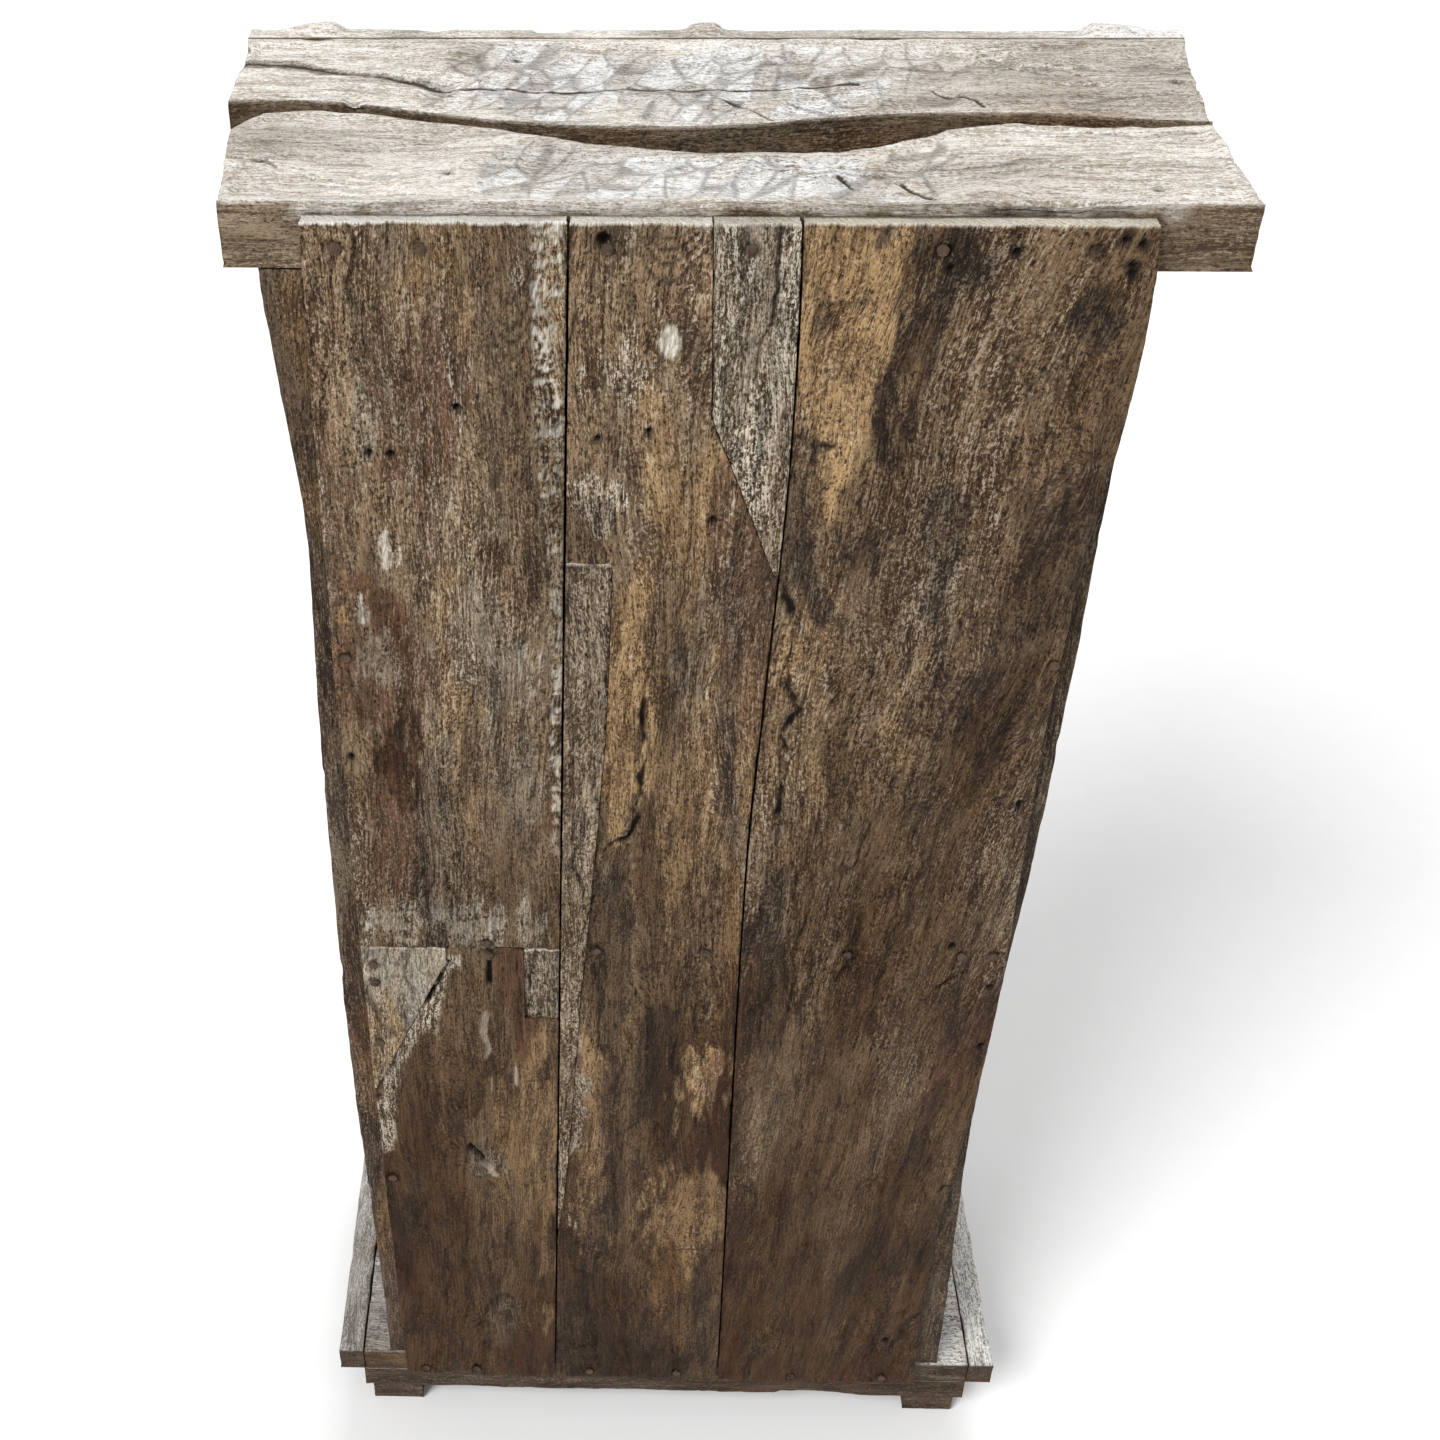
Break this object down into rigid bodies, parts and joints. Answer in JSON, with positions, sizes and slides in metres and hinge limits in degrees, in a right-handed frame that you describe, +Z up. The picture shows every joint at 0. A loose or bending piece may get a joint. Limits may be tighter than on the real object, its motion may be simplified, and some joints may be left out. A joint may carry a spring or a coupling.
{
  "type": "wall cabinet",
  "caption": "Tall narrow rustic cabinet of old weathered planks: thick hewn slab top, patched plank back, block feet, hinged plank doors with ring pulls.",
  "frame": {"origin": "on the floor, under the middle of the outer box", "axes": "+Z up, -Y towards the doors, +Y towards the plank back, +X to the right of a person facing the doors"},
  "size_m": [0.578, 0.3, 1.13],
  "materials": {
    "top_plank": "dry weathered hewn wood",
    "back_plank": "dry worn saw-marked wood",
    "side_plank": "worn waxed wood",
    "base_plank": "grey weathered wood",
    "foot_block": "dark worn wood",
    "inner_plank": "dry plain wood",
    "front_plank": "worn waxed wood",
    "old_iron": "dark forged iron"
  },
  "bodies": {
    "cabinet": {"top_slab_rear": "top_plank", "top_slab_front": "top_plank", "back_board_left": "back_plank", "back_board_middle": "back_plank", "back_board_right_upper": "back_plank", "back_board_right_lower": "back_plank", "corner_patch": "back_plank", "block_patch": "back_plank", "upper_wedge": "back_plank", "lower_wedge": "back_plank", "side_panel_left": "side_plank", "side_panel_right": "side_plank", "base_board": "base_plank", "base_strip_left": "base_plank", "base_strip_right": "base_plank", "bearer_rear": "foot_block", "bearer_front": "foot_block", "foot_rear_left": "foot_block", "foot_rear_right": "foot_block", "foot_front_left": "foot_block", "foot_front_right": "foot_block", "foot_pegs": "foot_block", "top_cleat_left": "inner_plank", "top_cleat_right": "inner_plank", "gap_batten": "inner_plank", "shelf_lower": "inner_plank", "shelf_middle": "inner_plank", "shelf_upper": "inner_plank", "shelf_cleats_left": "inner_plank", "shelf_cleats_right": "inner_plank", "door_stops": "inner_plank", "cornice": "front_plank", "stile_left": "front_plank", "stile_right": "front_plank", "head_rail": "front_plank", "sill_rail": "front_plank", "hinge_plates": "old_iron", "hinge_pins": "old_iron", "carcass_nails": "old_iron", "back_nails": "old_iron", "turn_button_screw": "old_iron"},
    "left_door": {"door_left_hanging_plank": "front_plank", "door_left_meeting_plank": "front_plank", "door_left_ledge_bottom": "front_plank", "door_left_ledge_middle": "front_plank", "door_left_ledge_top": "front_plank", "door_left_nails": "old_iron", "hinge_straps_left": "old_iron", "pull_eye_left": "old_iron"},
    "right_door": {"door_right_hanging_plank": "front_plank", "door_right_meeting_plank": "front_plank", "door_right_ledge_bottom": "front_plank", "door_right_ledge_middle": "front_plank", "door_right_ledge_top": "front_plank", "door_right_nails": "old_iron", "hinge_straps_right": "old_iron", "pull_eye_right": "old_iron"},
    "left_ring": {"pull_ring_left": "old_iron"},
    "right_ring": {"pull_ring_right": "old_iron"},
    "turn_button": {"turn_button": "front_plank"}
  },
  "joints": [
    {"name": "left_door_hinge", "type": "hinge", "parent": "cabinet", "child": "left_door", "pos_m": [-0.1788, -0.1175, 0.5725], "axis": [0, 0, -1], "range_deg": [0, 160]},
    {"name": "right_door_hinge", "type": "hinge", "parent": "cabinet", "child": "right_door", "pos_m": [0.1948, -0.1175, 0.5725], "axis": [0, 0, 1], "range_deg": [0, 160]},
    {"name": "left_ring_swing", "type": "hinge", "parent": "left_door", "child": "left_ring", "pos_m": [-0.024, -0.1206, 0.575], "axis": [-1, 0, 0], "range_deg": [0, 150]},
    {"name": "right_ring_swing", "type": "hinge", "parent": "right_door", "child": "right_ring", "pos_m": [0.04, -0.1206, 0.575], "axis": [-1, 0, 0], "range_deg": [0, 150]},
    {"name": "turn_button_pivot", "type": "hinge", "parent": "cabinet", "child": "turn_button", "pos_m": [0.008, -0.1171, 1.038], "axis": [0, 1, 0], "range_deg": [0, 90]}
  ]
}
